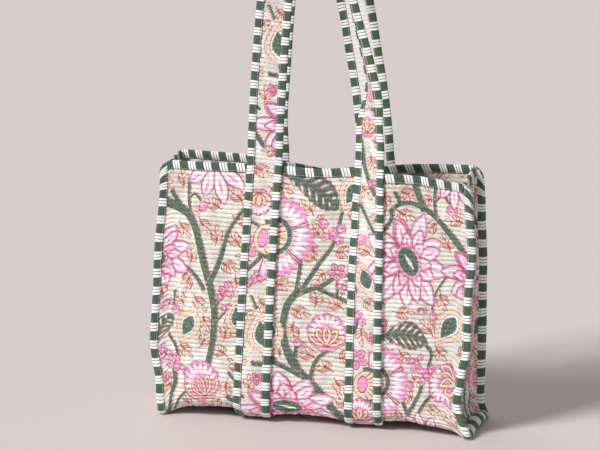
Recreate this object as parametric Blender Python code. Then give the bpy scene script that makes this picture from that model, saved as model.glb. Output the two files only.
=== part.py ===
"""A quilted cotton knitting bag with two long shoulder straps, built piece by piece as it is sewn.

X runs across the bag, Y from its front to its back and Z up. The origin is on the floor, under the middle
of the bag. One long body panel makes the front, the base and the back, and a gusset closes each side. Every
panel is a sandwich of printed cotton, wadding and lining. Raw edges are wrapped in striped binding tape.
Two straps run from under the base up the panels, and rise above the rim as handles that fold down.
"""

import math

import bmesh
import bpy
from mathutils import Vector

# Size of the bag. The width is measured over the bound side seams.
BAG_WIDTH = 0.457
BAG_HEIGHT = 0.356
BASE_DEPTH = 0.127
RIM_DEPTH = 0.070
BASE_CORNER = 0.018
CORNER_STEPS = 5

# Thickness of each cloth, and the gap that keeps neighbouring pieces apart.
PRINT = 0.0006
WADDING = 0.0018
LINING = 0.0005
TAPE = 0.0006
GAP = 0.0003
PANEL = PRINT + GAP + WADDING + GAP + LINING
SEAM_BINDING = 0.012

# Straps. The spread is between the centre lines of a left and a right strap.
STRAP_WIDTH = 0.050
STRAP_SPREAD = 0.147
STRAP_WADDING = 0.0008
STRAP_BINDING = 0.011
STRAP_CLOTH = PRINT + GAP + STRAP_WADDING + GAP + LINING
STRAP_THICKNESS = STRAP_CLOTH + 2 * (GAP + TAPE)
STRAP_SEAT = GAP + TAPE + GAP

# Handles. Each is an arch in a plane that leans in, so that the two nearly meet over the bag. Held up by
# its top, a handle's legs draw together and lean to the left.
HANDLE_RISE = 0.345
ARCH_RISE = 0.060
LEG_DRAW_IN = 0.033
LEG_LEAN = 0.0205
# The pull on a leg grows with this power of its height.
PULL_CURVE = 1.5
HANDLE_FOOT_GAP = 0.0008
HANDLE_TOP_GAP = 0.003
LEG_STEPS = 14
ARCH_STEPS = 16
# How a leg turns about its own length: where the turn starts and where it is done, as shares of the way
# from the foot to the top, and the angle. A positive turn faces the print into the arch.
EARLY_TURN_IN = (0.00, 0.42, 90)
LATE_TURN_IN = (0.66, 1.00, 90)
LATE_TURN_OUT = (0.66, 1.00, -90)

BASE_LEVEL = STRAP_SEAT + STRAP_THICKNESS
EDGE_X = BAG_WIDTH / 2 - TAPE - GAP
GUSSET_X = BAG_WIDTH / 2 - SEAM_BINDING
PANEL_TOP = BAG_HEIGHT - TAPE - GAP
STRAP_MIDDLE = STRAP_SEAT + STRAP_THICKNESS / 2

GREEN_TAPE = ("striped_tape", (0.10, 0.19, 0.12, 1.0), 0.85)
FLORAL = ("floral_cotton", (0.79, 0.66, 0.52, 1.0), 0.90)
WHITE = ("white_cotton", (0.82, 0.80, 0.78, 1.0), 0.90)
FLUFF = ("cotton_wadding", (0.88, 0.86, 0.80, 1.0), 1.00)


def clear_scene():
    for obj in list(bpy.data.objects):
        bpy.data.objects.remove(obj, do_unlink=True)


def material(look):
    """The material of that name, made the first time it is asked for. Cloth has no metal in it."""
    name, colour, roughness = look
    found = bpy.data.materials.get(name)
    if found:
        return found
    made = bpy.data.materials.new(name)
    made.use_nodes = True
    shader = made.node_tree.nodes["Principled BSDF"]
    shader.inputs["Base Color"].default_value = colour
    shader.inputs["Roughness"].default_value = roughness
    shader.inputs["Metallic"].default_value = 0.0
    made.diffuse_color = colour
    return made


def add_solid(name, mesh_builder, look):
    """Turns a bmesh into an object whose faces all point out."""
    bmesh.ops.recalc_face_normals(mesh_builder, faces=mesh_builder.faces)
    mesh = bpy.data.meshes.new(name)
    mesh_builder.to_mesh(mesh)
    mesh_builder.free()
    mesh.materials.append(material(look))
    obj = bpy.data.objects.new(name, mesh)
    bpy.context.scene.collection.objects.link(obj)
    return obj


def solid_from_rings(name, rings, section, look):
    """Joins equal rings of points into one closed solid.

    section holds the places of a ring's points. It picks the diagonal of every four-sided face, so that the
    two sides of a twisted cloth, and the layers next to it, are cut the same way and stay apart.
    """
    builder = bmesh.new()
    rows = [[builder.verts.new(point) for point in ring] for ring in rings]
    count = len(section)
    for row, following in zip(rows, rows[1:]):
        for j in range(count):
            k = (j + 1) % count
            near, far, far_next, near_next = row[j], following[j], following[k], row[k]
            if section[k] >= section[j]:
                builder.faces.new((near, far, far_next))
                builder.faces.new((near, far_next, near_next))
            else:
                builder.faces.new((near, far, near_next))
                builder.faces.new((far, far_next, near_next))
    builder.faces.new(rows[0])
    builder.faces.new(rows[-1])
    return add_solid(name, builder, look)


# The profile: the outer face of the body panel, seen from the side, as points (y, z) from the front rim
# down, along the base and up to the back rim.


def round_corner(before, corner, after, radius):
    """Points of the arc that rounds off a corner between two straight runs."""
    to_before = (before - corner).normalized()
    to_after = (after - corner).normalized()
    half = to_before.angle(to_after) / 2
    middle = (to_before + to_after).normalized()
    centre = corner + middle * (radius / math.sin(half))
    first = corner + to_before * (radius / math.tan(half)) - centre
    sweep = math.pi - 2 * half
    points = []
    for step in range(CORNER_STEPS + 1):
        angle = sweep * step / CORNER_STEPS
        cos, sin = math.cos(angle), math.sin(angle)
        spoke = Vector((first.x * cos - first.y * sin, first.x * sin + first.y * cos))
        points.append(centre + spoke)
    return points


def half_depth_at(z):
    """Half of the bag's depth over the body panel's straight walls, at a height."""
    share = (z - BASE_LEVEL) / (BAG_HEIGHT - BASE_LEVEL)
    return BASE_DEPTH / 2 + share * (RIM_DEPTH - BASE_DEPTH) / 2


def profile(top):
    """The whole profile, with its two ends at the height top."""
    front_rim = Vector((-half_depth_at(top), top))
    front_corner = Vector((-half_depth_at(BASE_LEVEL), BASE_LEVEL))
    back_corner = Vector((half_depth_at(BASE_LEVEL), BASE_LEVEL))
    back_rim = Vector((half_depth_at(top), top))
    front_arc = round_corner(front_rim, front_corner, back_corner, BASE_CORNER)
    back_arc = round_corner(front_corner, back_corner, back_rim, BASE_CORNER)
    return [front_rim, *front_arc, *back_arc, back_rim]


def profile_runs(top):
    """The profile cut in three, across the middle step of its two corners: the front, base and back runs."""
    whole = profile(top)
    first = 1 + CORNER_STEPS // 2
    second = first + CORNER_STEPS + 1
    front_cut = (whole[first] + whole[first + 1]) / 2
    back_cut = (whole[second] + whole[second + 1]) / 2
    front = [*whole[: first + 1], front_cut]
    base = [front_cut, *whole[first + 1 : second + 1], back_cut]
    back = [back_cut, *whole[second + 1 :]]
    return front, base, back


def shortened(path, at_start, at_end):
    """The path with half of a gap taken off the ends that are asked for."""
    points = list(path)
    if at_start:
        points[0] = points[0] + (points[1] - points[0]).normalized() * (GAP / 2)
    if at_end:
        points[-1] = points[-1] + (points[-2] - points[-1]).normalized() * (GAP / 2)
    return points


def offset_curve(path, distance, level_start, level_end):
    """The path moved outwards. A level end keeps its height, so that the piece is cut off level there."""
    normals = []
    for a, b in zip(path, path[1:]):
        along = (b - a).normalized()
        normals.append(Vector((along.y, -along.x)))
    moved = []
    for i, point in enumerate(path):
        before, after = normals[max(i - 1, 0)], normals[min(i, len(normals) - 1)]
        mitre = (before + after) / (1 + before.dot(after))
        if (i == 0 and level_start) or (i == len(path) - 1 and level_end):
            mitre = Vector((1 / before.x, 0))
        moved.append(point + mitre * distance)
    return moved


def along_profile(name, section, path, look, level_start=True, level_end=True):
    """A solid whose section, a loop of (x, distance out from the profile), runs along a path."""
    curves = {out: offset_curve(path, out, level_start, level_end) for _, out in section}
    rings = []
    for i in range(len(path)):
        rings.append([Vector((x, curves[out][i].x, curves[out][i].y)) for x, out in section])
    return solid_from_rings(name, rings, section, look)


def slab(low_x, high_x, low_out, high_out):
    """The section of a flat layer."""
    return [(low_x, low_out), (high_x, low_out), (high_x, high_out), (low_x, high_out)]


def channel(open_x, closed_x, low_out, high_out):
    """The section of a tape folded over an edge at closed_x: a U that is open towards open_x."""
    inward = TAPE if open_x > closed_x else -TAPE
    return [
        (open_x, high_out),
        (closed_x, high_out),
        (closed_x, low_out),
        (open_x, low_out),
        (open_x, low_out + TAPE),
        (closed_x + inward, low_out + TAPE),
        (closed_x + inward, high_out - TAPE),
        (open_x, high_out - TAPE),
    ]


# Pieces of the bag


def layers(outer, wadding_thickness):
    """Each layer's (name, lowest and highest distance out, look). The print's face is at outer."""
    wadding_top = outer - PRINT - GAP
    lining_top = wadding_top - wadding_thickness - GAP
    return [
        ("print", outer - PRINT, outer, FLORAL),
        ("wadding", wadding_top - wadding_thickness, wadding_top, FLUFF),
        ("lining", lining_top - LINING, lining_top, FLORAL),
    ]


def add_body():
    path = profile(PANEL_TOP)
    for layer, low, high, look in layers(0.0, WADDING):
        along_profile(f"body_{layer}", slab(-EDGE_X, EDGE_X, low, high), path, look)


def tray(name, side, plate_x, thickness, outer, look):
    """One layer of a gusset: a plate that fills the side, with a flange turned out along the body panel."""
    path = profile(PANEL_TOP)
    outside = offset_curve(path, outer, True, True)
    inside = offset_curve(path, outer - thickness, True, True)
    builder = bmesh.new()

    def row(curve, x):
        return [builder.verts.new((side * x, point.x, point.y)) for point in curve]

    plate = row(outside, plate_x)
    outer_tip = row(outside, EDGE_X)
    inner_tip = row(inside, EDGE_X)
    floor = row(inside, plate_x + thickness)
    loops = [plate, outer_tip, inner_tip, floor]
    for a, b in zip(loops, loops[1:]):
        for i in range(len(path) - 1):
            builder.faces.new((a[i], a[i + 1], b[i + 1], b[i]))
    builder.faces.new(plate)
    builder.faces.new(floor)
    builder.faces.new([loop[0] for loop in loops] + [loop[-1] for loop in reversed(loops)])
    return add_solid(name, builder, look)


def add_gusset(word, side):
    """The lining lies against the body panel's lining in the seam, and the print faces out of the bag."""
    seam = -PANEL - GAP
    print_x = GUSSET_X - PRINT
    wadding_x = print_x - GAP - WADDING
    lining_x = wadding_x - GAP - LINING
    tray(f"gusset_{word}_lining", side, lining_x, LINING, seam, FLORAL)
    tray(f"gusset_{word}_wadding", side, wadding_x, WADDING, seam - LINING - GAP, FLUFF)
    tray(f"gusset_{word}_print", side, print_x, PRINT, seam - PANEL + PRINT, FLORAL)


def add_rim_binding(word, side):
    """Tape folded over the front or back rim. Its inner wall stops short of the gusset's lining."""
    outside_x = GUSSET_X - GAP
    inside_x = GUSSET_X - PANEL - GAP
    high, low = GAP + TAPE, -PANEL - GAP - TAPE
    bottom = BAG_HEIGHT - SEAM_BINDING
    section = [
        (high, BAG_HEIGHT),
        (high, bottom),
        (high - TAPE, bottom),
        (high - TAPE, BAG_HEIGHT - TAPE),
        (low + TAPE, BAG_HEIGHT - TAPE),
        (low + TAPE, bottom),
        (low, bottom),
        (low, BAG_HEIGHT),
    ]
    lean = math.atan2((BASE_DEPTH - RIM_DEPTH) / 2, BAG_HEIGHT - BASE_LEVEL)
    rings = []
    for end in (-1, 1):
        ring = []
        for out, z in section:
            x = end * (outside_x if out > 0 else inside_x)
            ring.append(Vector((x, side * (half_depth_at(z) + out / math.cos(lean)), z)))
        rings.append(ring)
    return solid_from_rings(f"rim_binding_{word}", rings, section, GREEN_TAPE)


def add_gusset_rim_binding(word, side):
    """Tape folded over the top of a gusset, between the seams."""
    outer_x, inner_x = GUSSET_X + GAP + TAPE, GUSSET_X - PANEL - GAP - TAPE
    bottom = BAG_HEIGHT - SEAM_BINDING
    outer_reach = RIM_DEPTH / 2 - 2 * PANEL - TAPE - 4 * GAP
    inner_reach = RIM_DEPTH / 2 - PANEL - TAPE - 3 * GAP
    section = [
        (outer_x, BAG_HEIGHT),
        (outer_x, bottom),
        (outer_x - TAPE, bottom),
        (outer_x - TAPE, BAG_HEIGHT - TAPE),
        (inner_x + TAPE, BAG_HEIGHT - TAPE),
        (inner_x + TAPE, bottom),
        (inner_x, bottom),
        (inner_x, BAG_HEIGHT),
    ]
    rings = []
    for end in (-1, 1):
        ring = []
        for x, z in section:
            reach = outer_reach if x > GUSSET_X else inner_reach
            ring.append(Vector((side * x, end * reach, z)))
        rings.append(ring)
    return solid_from_rings(f"rim_binding_{word}", rings, section, GREEN_TAPE)


def add_seam_bindings(word, side):
    """Three tapes that bind the seam between a gusset and the body panel, and stand out like a fin."""
    front, base, back = profile_runs(BAG_HEIGHT)
    section = channel(side * GUSSET_X, side * BAG_WIDTH / 2, -2 * PANEL - 2 * GAP - TAPE, GAP + TAPE)
    runs = (
        ("front", shortened(front, False, True), True, False),
        ("base", shortened(base, True, True), False, False),
        ("back", shortened(back, True, False), False, True),
    )
    for edge, run, level_start, level_end in runs:
        along_profile(f"seam_binding_{edge}_{word}", section, run, GREEN_TAPE, level_start, level_end)


def strap_sections(middle_out):
    """The strap's pieces as (name, section, look). A section's points are (place across, distance out)."""
    half = STRAP_WIDTH / 2
    cloth = half - TAPE - GAP
    tape_edge = half - STRAP_BINDING
    columns = [-cloth, -tape_edge, tape_edge, cloth]
    high = middle_out + STRAP_THICKNESS / 2
    low = middle_out - STRAP_THICKNESS / 2
    pieces = []
    for layer, bottom, top, look in layers(high - TAPE - GAP, STRAP_WADDING):
        section = [(x, bottom) for x in columns] + [(x, top) for x in reversed(columns)]
        pieces.append((layer, section, WHITE if layer == "lining" else look))
    pieces.append(("inner_binding", channel(tape_edge, half, low, high), GREEN_TAPE))
    pieces.append(("outer_binding", channel(-tape_edge, -half, low, high), GREEN_TAPE))
    return pieces


def add_strap_run(front_or_back, word, side):
    """The part of a strap that is sewn to the bag, from the rim to the middle of the base."""
    whole = profile(BAG_HEIGHT)
    middle = Vector((0.0, BASE_LEVEL))
    half = len(whole) // 2
    if front_or_back == "front":
        path, level = shortened([*whole[:half], middle], False, True), (True, False)
    else:
        path, level = shortened([middle, *whole[half:]], True, False), (False, True)
    for piece, section, look in strap_sections(STRAP_MIDDLE):
        placed = [(side * (STRAP_SPREAD / 2 - across), out) for across, out in section]
        along_profile(f"strap_{front_or_back}_{word}_{piece}", placed, path, look, *level)


def smooth(share):
    """0 below 0, 1 above 1, and a smooth rise between them."""
    share = min(max(share, 0.0), 1.0)
    return share * share * (3 - 2 * share)


def handle_line():
    """Points (x, height) of a handle's centre line in its own plane, from the left foot to the right."""
    shoulder = HANDLE_RISE - ARCH_RISE

    def at(side, height):
        pull = (height / shoulder) ** PULL_CURVE
        return Vector((side * (STRAP_SPREAD / 2 - LEG_DRAW_IN * pull) - LEG_LEAN * pull, height))

    heights = [HANDLE_FOOT_GAP + (shoulder - HANDLE_FOOT_GAP) * i / LEG_STEPS for i in range(LEG_STEPS)]
    up = [at(-1, height) for height in heights]
    over = []
    for i in range(ARCH_STEPS + 1):
        angle = math.pi * i / ARCH_STEPS
        over.append(at(-math.cos(angle), shoulder + ARCH_RISE * math.sin(angle)))
    down = [at(1, height) for height in reversed(heights)]
    return [*up, *over, *down]


def handle_frames(side, left_turn, right_turn):
    """At each point of a handle: its centre, the direction across the strap and the one its print faces.

    The strap leaves the bag flat against it, and turns a quarter turn on its way to the top.
    """
    line = handle_line()
    walked = [0.0]
    for a, b in zip(line, line[1:]):
        walked.append(walked[-1] + (b - a).length)
    foot = half_depth_at(BAG_HEIGHT) + STRAP_MIDDLE
    top = STRAP_WIDTH / 2 + HANDLE_TOP_GAP / 2
    lean = math.asin((foot - top) / HANDLE_RISE)
    rise = Vector((0, -side * math.sin(lean), math.cos(lean)))
    outward = Vector((0, side * math.cos(lean), math.sin(lean)))
    right = Vector((1, 0, 0))
    origin = Vector((0, side * foot, BAG_HEIGHT))
    frames = []
    for i, point in enumerate(line):
        step = line[min(i + 1, len(line) - 1)] - line[max(i - 1, 0)]
        step.normalize()
        if i in (0, len(line) - 1):
            step = Vector((0, 1 if i == 0 else -1))
        inward = right * step.y - rise * step.x
        share = walked[i] / walked[-1]
        start, end, whole_turn = left_turn if share < 0.5 else right_turn
        turn = math.radians(whole_turn) * smooth((2 * min(share, 1 - share) - start) / (end - start))
        across = inward * math.cos(turn) - outward * math.sin(turn)
        facing = outward * math.cos(turn) + inward * math.sin(turn)
        frames.append((origin + right * point.x + rise * point.y, across, facing))
    return frames


def add_handle(word, side, left_turn, right_turn):
    """The loop of a strap above the rim. It folds outwards about the outer face of the strap's foot."""
    frames = handle_frames(side, left_turn, right_turn)
    for piece, section, look in strap_sections(0.0):
        rings = []
        for centre, across, facing in frames:
            rings.append([centre + across * place + facing * out for place, out in section])
        solid_from_rings(f"handle_{word}_{piece}", rings, section, look)


def main():
    clear_scene()
    add_body()
    for word, side in (("front", -1), ("back", 1)):
        add_rim_binding(word, side)
    for word, side in (("left", -1), ("right", 1)):
        add_gusset(word, side)
        add_gusset_rim_binding(word, side)
        add_seam_bindings(word, side)
        add_strap_run("front", word, side)
        add_strap_run("back", word, side)
    add_handle("front", -1, LATE_TURN_IN, EARLY_TURN_IN)
    add_handle("back", 1, LATE_TURN_OUT, LATE_TURN_OUT)


main()
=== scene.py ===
"""The looks of the quilted knitting bag: cloth, print, bindings, straps, light and camera.

Every cloth piece is made in the straight, as part.py makes it, on a fine grid. Then settle() moves all of
them together into the slack shape of a real bag, so that pieces that touch stay in touch.
"""

import math

import bmesh
import bpy
import numpy as np
from mathutils import Matrix, Vector


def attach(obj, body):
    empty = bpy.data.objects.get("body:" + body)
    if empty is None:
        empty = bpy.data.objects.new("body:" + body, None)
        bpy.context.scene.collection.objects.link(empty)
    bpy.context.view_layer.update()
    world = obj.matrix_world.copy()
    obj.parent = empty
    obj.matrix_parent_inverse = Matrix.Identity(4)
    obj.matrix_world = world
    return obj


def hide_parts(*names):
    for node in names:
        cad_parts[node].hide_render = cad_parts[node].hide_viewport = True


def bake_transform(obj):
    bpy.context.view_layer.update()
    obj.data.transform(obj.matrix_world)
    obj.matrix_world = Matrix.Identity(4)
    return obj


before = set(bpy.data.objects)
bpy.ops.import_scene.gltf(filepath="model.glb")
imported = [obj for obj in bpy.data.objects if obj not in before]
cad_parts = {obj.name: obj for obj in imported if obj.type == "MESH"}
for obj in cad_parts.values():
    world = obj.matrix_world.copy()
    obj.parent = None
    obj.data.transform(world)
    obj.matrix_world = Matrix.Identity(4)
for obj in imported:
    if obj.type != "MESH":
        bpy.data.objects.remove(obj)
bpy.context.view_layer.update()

# Sizes of the bag and its cloth, as in the CAD model.
BAG_WIDTH = 0.457
BAG_HEIGHT = 0.356
BASE_DEPTH = 0.127
RIM_DEPTH = 0.070
BASE_CORNER = 0.018
EAR_CORNER = 0.005
TOP_CORNER = 0.022
PRINT = 0.0006
WADDING = 0.0018
LINING = 0.0005
TAPE = 0.0006
GAP = 0.0003
PANEL = PRINT + GAP + WADDING + GAP + LINING
OUTER_HALF = PRINT + GAP + WADDING / 2
SEAM_BINDING = 0.012
STRAP_WIDTH = 0.050
STRAP_SPREAD = 0.147
STRAP_BINDING = 0.011
STRAP_CLOTH = 0.0025
STRAP_PRINT_HALF = 0.0012
STRAP_THICKNESS = STRAP_CLOTH + 2 * (GAP + TAPE)
STRAP_SEAT = GAP + TAPE + GAP
STRAP_MIDDLE = STRAP_SEAT + STRAP_THICKNESS / 2
HANDLE_RISE = 0.345
ARCH_RISE = 0.060
LEG_DRAW_IN = 0.033
LEG_LEAN = 0.0205
PULL_CURVE = 1.5
HANDLE_TOP_GAP = 0.003
# How far a leg of a handle is turned, in degrees, at shares of its way up. Above 0 its print faces inwards.
EARLY_TURN_IN = ((0.0, 0), (0.38, 72), (0.70, 80), (1.0, 90))
LATE_TURN_IN = ((0.0, 0), (0.66, 0), (1.0, 90))
LATE_TURN_OUT = ((0.0, 0), (0.66, 0), (1.0, -90))
BASE_LEVEL = STRAP_SEAT + STRAP_THICKNESS
EDGE_X = BAG_WIDTH / 2 - TAPE - GAP
GUSSET_X = BAG_WIDTH / 2 - SEAM_BINDING
PANEL_TOP = BAG_HEIGHT - TAPE - GAP
HINGE_Y = 0.0406
HINGE_HEIGHT = 0.3564

# The fineness of the cloth, and the quilting.
ROW = 0.00635
FINE = ROW / 5
WEFT = 0.0014
QUILT_PUFF = 0.0013
STRIPE_PERIOD = 0.0238
STITCH = 0.0066
TAPE_PUFF = 0.0009
LINING_PITCHES = (0.0026, 0.0030)
# How far a surface is kept from the one that it would touch.
HAIR = 0.0002
WAVE_COUNT = 7


def rise(value, start, end):
    """0 up to the start, 1 from the end on, and a smooth rise between. The end may be below the start."""
    share = np.clip((value - start) / (end - start), 0.0, 1.0)
    return share * share * (3 - 2 * share)


def waves(u, v, length, seed):
    """Gentle hills over a surface, each about length across, between about -1 and 1."""
    rng = np.random.default_rng(seed)
    total = np.zeros(np.broadcast(u, v).shape)
    for _ in range(WAVE_COUNT):
        angle = rng.uniform(0, 2 * math.pi)
        stretch = rng.uniform(0.7, 1.5)
        phase = rng.uniform(0, 2 * math.pi)
        along = u * math.cos(angle) + v * math.sin(angle)
        total += np.sin(along * 2 * math.pi / (length * stretch) + phase)
    return total / math.sqrt(WAVE_COUNT * 2)


# The outline of the bag seen from its side, as in part.py, but read at any distance along it.


def half_depth_at(z):
    share = (z - BASE_LEVEL) / (BAG_HEIGHT - BASE_LEVEL)
    return BASE_DEPTH / 2 + share * (RIM_DEPTH - BASE_DEPTH) / 2


WALL_LEAN = math.atan2((BASE_DEPTH - RIM_DEPTH) / 2, BAG_HEIGHT - BASE_LEVEL)
CORNER_TURN = math.pi / 2 + WALL_LEAN


def breaks(radius):
    """Distances from the rim along the front half of the outline: rim, corner's start and end, middle."""
    tangent = radius * math.tan(CORNER_TURN / 2)
    wall = (BAG_HEIGHT - BASE_LEVEL) / math.cos(WALL_LEAN) - tangent
    arc = radius * CORNER_TURN
    return [0.0, wall, wall + arc, wall + arc + BASE_DEPTH / 2 - tangent]


HALF_RUN = breaks(BASE_CORNER)[-1]
FULL_RUN = 2 * HALF_RUN


def outline(s, radius):
    """y, z and the normal's y and z, s metres along the outline from the front rim, for a corner radius."""
    front = s <= HALF_RUN
    near = np.where(front, s, FULL_RUN - s)
    _, wall, curved, _ = breaks(radius)
    t = np.where(near < 0, near, np.interp(near, breaks(BASE_CORNER), breaks(radius)))
    straight = np.minimum(t, wall)
    angle = np.clip((t - wall) / radius, 0, CORNER_TURN) - WALL_LEAN
    y = -half_depth_at(BAG_HEIGHT) - straight * math.sin(WALL_LEAN) + np.maximum(t - curved, 0)
    y = y + radius * (math.cos(WALL_LEAN) - np.cos(angle))
    z = BAG_HEIGHT - straight * math.cos(WALL_LEAN) - radius * (math.sin(WALL_LEAN) + np.sin(angle))
    side = np.where(front, 1.0, -1.0)
    return y * side, z, -np.cos(angle) * side, -np.sin(angle)


def body_point(x, s, out):
    """A point of the body panel in the straight: x across, s along the outline, and out from its face."""
    x, s, out = np.broadcast_arrays(np.asarray(x, float), s, out)
    ear = rise(np.abs(x), GUSSET_X - 0.014, GUSSET_X + 0.004)
    outlines = zip(outline(s, BASE_CORNER), outline(s, EAR_CORNER))
    y, z, normal_y, normal_z = [(1 - ear) * soft + ear * sharp for soft, sharp in outlines]
    size = np.hypot(normal_y, normal_z)
    return np.stack([x, y + out * normal_y / size, z + out * normal_z / size], -1)


def eased(value, knots):
    """A smooth curve through knots of (value, height), flat at each knot."""
    places, heights = np.array(knots, float).T
    i = np.clip(np.searchsorted(places, value) - 1, 0, len(places) - 2)
    return heights[i] + (heights[i + 1] - heights[i]) * rise(value, places[i], places[i + 1])


# How far the side seams swing to +x from straight, at shares of the bag's height.
LEFT_SEAM = ((0, 0.015), (0.10, 0.010), (0.30, 0), (0.55, -0.001), (0.82, 0.006), (1, 0.003))
RIGHT_FRONT_SEAM = (
    (0, 0.005), (0.13, -0.015), (0.22, -0.011), (0.35, -0.004), (0.65, -0.003), (0.90, -0.007), (1, -0.008),
)
RIGHT_BACK_SEAM = ((0, 0.009), (0.08, -0.001), (0.40, 0.001), (0.60, 0.002), (0.82, -0.004), (1, -0.005))
# How far the rim, the front then the back, stands out from its straight line, at places across the bag.
FRONT_RIM = ((-0.23, 0.006), (-0.15, -0.002), (0, -0.006), (0.09, 0), (0.16, 0.003), (0.23, 0.009))
BACK_RIM = ((-0.23, 0.004), (-0.15, -0.004), (0, -0.010), (0.12, -0.002), (0.17, 0.004), (0.23, 0.008))
# How far the back rim sags, at places across the bag.
BACK_SAG = (
    (-0.23, -0.004), (-0.12, -0.003), (-0.06, 0.004), (0, 0.010),
    (0.06, 0.004), (0.14, -0.003), (0.23, -0.004),
)
# How far the front edge of the base lifts, at places across the bag.
FRONT_LIFT = (
    (-0.22, 0), (-0.17, 0.006), (-0.11, 0.008), (-0.08, 0.002),
    (0, 0.005), (0.07, 0.002), (0.13, 0.007), (0.22, 0),
)
# The right strap of the front is turned about its middle: how steeply, at shares of the bag's height.
STRAP_FOLD = ((0, 0), (0.35, 0.08), (0.62, 0.20), (0.85, 0.50), (1, 0.80))
FOLD_REACH = 0.040
# How far the outer edge of the front handle's right leg is folded back, in degrees, at heights above the rim.
FRONT_RIGHT_CURL = ((0, 0), (0.04, 15), (0.10, 62), (0.24, 66), (0.30, 0), (0.40, 0))
# How far that leg bows out, at heights above the rim.
FRONT_RIGHT_BOW = ((0, 0), (0.05, 0.002), (0.12, 0.012), (0.23, 0.006), (0.29, 0.002), (0.40, 0))


def settle(points):
    """Moves points of the straight bag to where they hang and sag on the real one."""
    x, y, z = points[..., 0], points[..., 1], points[..., 2]
    across = np.abs(x)
    height = z - BAG_HEIGHT
    level = np.clip(z / BAG_HEIGHT, 0.0, 1.0)
    depth = np.clip(y / half_depth_at(np.minimum(z, BAG_HEIGHT)), -1.0, 1.0)
    swell = np.sin(math.pi * level)
    below_arch = 1 - rise(height, 0, 0.14)
    front = rise(depth, 1, -1)
    on_wall = rise(np.abs(depth), 0, 1)
    near_rim = rise(level, 0.55, 1)
    inside = 1 - rise(across, 0.150, 0.212)

    def both(value, front_knots, back_knots):
        return eased(value, front_knots) * front + eased(value, back_knots) * (1 - front)

    # Out from the walls: the belly, folds, creases, the wander of the rim, the turned strap and a folded ear.
    out = 0.0060 * swell**0.8 * inside
    deep = 0.35 + 0.65 * np.sin(math.pi * np.minimum(level, 0.9))
    out = out + 0.0042 * waves(x, z * 0.35, 0.13, 3) * deep
    out = out + (0.0011 + 0.0012 * rise(level, 0.30, 0)) * waves(x, z * 0.8, 0.045, 8) * inside
    out = out + both(x, FRONT_RIM, BACK_RIM) * near_rim
    out = out + 0.0012 * waves(x, 0 * x, 0.09, 12) * near_rim * np.sign(y)
    from_fold = x - STRAP_SPREAD / 2
    turn = eased(level, STRAP_FOLD) * front**2 * np.exp(-((from_fold / FOLD_REACH) ** 2))
    ear_fold = rise(x, 0.130, 0.210) * rise(level, 0.14, 0.02) * front**2
    new_y = y + (np.sign(y) * on_wall * out - turn * from_fold) * below_arch - 0.009 * ear_fold

    # Sideways: the seams' swing, the gussets' pinch and ripples, and the straps, which spread lower down.
    right_seam = both(level, RIGHT_FRONT_SEAM, RIGHT_BACK_SEAM)
    swing = np.where(x < 0, eased(level, LEFT_SEAM), right_seam) * rise(across, 0.120, 0.210)
    pinch = 0.0045 * swell * (1 - depth**2)
    pinch = pinch + 0.0016 * waves(y, z, 0.11, 21) + 0.0014 * waves(y * 0.2, z, 0.12, 31)
    spread = 0.0065 * np.sin(math.pi * np.clip(x / 0.190, -1, 1)) * (1 - level) * on_wall
    sideways = swing - np.sign(x) * rise(across, 0.190, 0.220) * pinch + spread - 0.15 * turn * from_fold

    # The handles' legs: the back ones swing to the left, and the front's right one bows out.
    back, right = rise(y, 0, 0.0015), rise(x, 0, 0.030)
    swung = np.exp(-(((x + 0.070) / 0.060) ** 2)) * back * 0.006 * (near_rim + rise(height, 0, 0.07))
    swung = swung + 0.004 * back * right * rise(height, -0.02, 0.02) * rise(height, 0.26, 0.14)
    bowed = right * rise(y, 0, -0.0015) * eased(np.maximum(height, 0.0), FRONT_RIGHT_BOW)

    # Down: the rounded top corners and the sags of the rim. The base's front edge lifts, and its ears dip.
    past = np.clip(across - (BAG_WIDTH / 2 - TOP_CORNER), 0, TOP_CORNER * 0.97)
    drop = (TOP_CORNER - np.sqrt(TOP_CORNER**2 - past**2)) * rise(level, 0.83, 1)
    front_sag = 0.0080 * rise(x, 0.110, 0.220) + 0.0020 * np.cos(math.pi * np.clip(x / 0.0735, -0.5, 0.5))
    drop = drop + (front_sag * front + eased(x, BACK_SAG) * (1 - front)) * near_rim
    lift = 0.0022 * waves(x, y, 0.07, 41) * rise(level, 0.07, 0.01) * (level > 0.018)
    lift = lift + eased(x, FRONT_LIFT) * rise(level, 0.12, 0.02) * front**2
    lift = lift - 0.0062 * rise(across, 0.190, 0.225) * rise(level, 0.12, 0) * on_wall
    return np.stack([x + sideways * below_arch - swung + bowed, new_y, z - drop * below_arch + lift], -1)


# Meshes


def link(name, data):
    """Puts an object into the scene."""
    obj = bpy.data.objects.new(name, data)
    bpy.context.scene.collection.objects.link(obj)
    return obj


def mesh(name, points, faces, material):
    data = bpy.data.meshes.new(name)
    data.from_pydata(points.reshape(-1, 3).tolist(), [], faces)
    data.update()
    data.materials.append(material)
    return data


def closed_piece(name, points, faces, material):
    """A smooth closed piece whose faces point out."""
    data = mesh(name, points, faces, material)
    builder = bmesh.new()
    builder.from_mesh(data)
    bmesh.ops.recalc_face_normals(builder, faces=builder.faces)
    builder.to_mesh(data)
    builder.free()
    data.shade_smooth()
    return link(name, data)


def numbered(grid):
    """The number of each point of a grid."""
    return np.arange(grid.shape[0] * grid.shape[1]).reshape(grid.shape[:2])


def quads(index):
    """The faces between the numbered points of a grid."""
    corners = [index[:-1, :-1], index[:-1, 1:], index[1:, 1:], index[1:, :-1]]
    return np.stack([corner.ravel() for corner in corners], 1).tolist()


def border(index):
    """The numbers around a grid's edge, in order."""
    return [*index[0, :-1], *index[:-1, -1], *index[-1, :0:-1], *index[:0:-1, 0]]


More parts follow.
